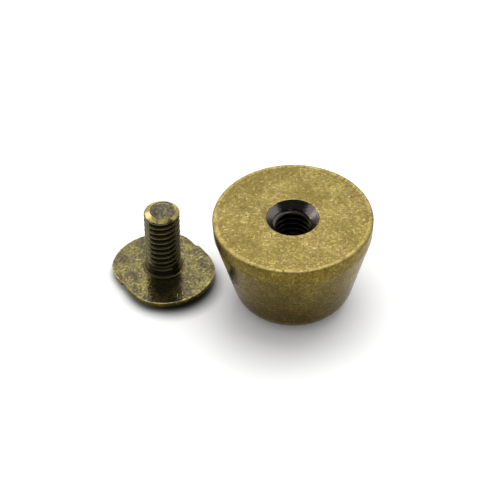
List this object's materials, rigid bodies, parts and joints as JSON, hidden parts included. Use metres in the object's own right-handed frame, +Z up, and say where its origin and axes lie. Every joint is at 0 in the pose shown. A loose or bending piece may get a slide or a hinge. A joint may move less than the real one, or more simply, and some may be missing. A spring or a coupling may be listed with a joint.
{
  "type": "cone spike stud",
  "caption": "Blunt cone stud with a countersunk tapped hole in its broad face, standing beside its slotted screw with a low domed head.",
  "frame": {"origin": "middle of the cone's narrow resting face, level with the surface that both pieces stand on", "axes": "+Z up along the cone's axis towards its broad face, +X from the screw's side towards the cone's, +Y completes the right-handed set"},
  "size_m": [0.0197, 0.0124, 0.008],
  "materials": {
    "cone": "satin antique brass, mottled",
    "screw": "satin antique brass, darker in the thread"
  },
  "bodies": {
    "root": {"cone": "cone", "screw": "screw"}
  },
  "joints": []
}
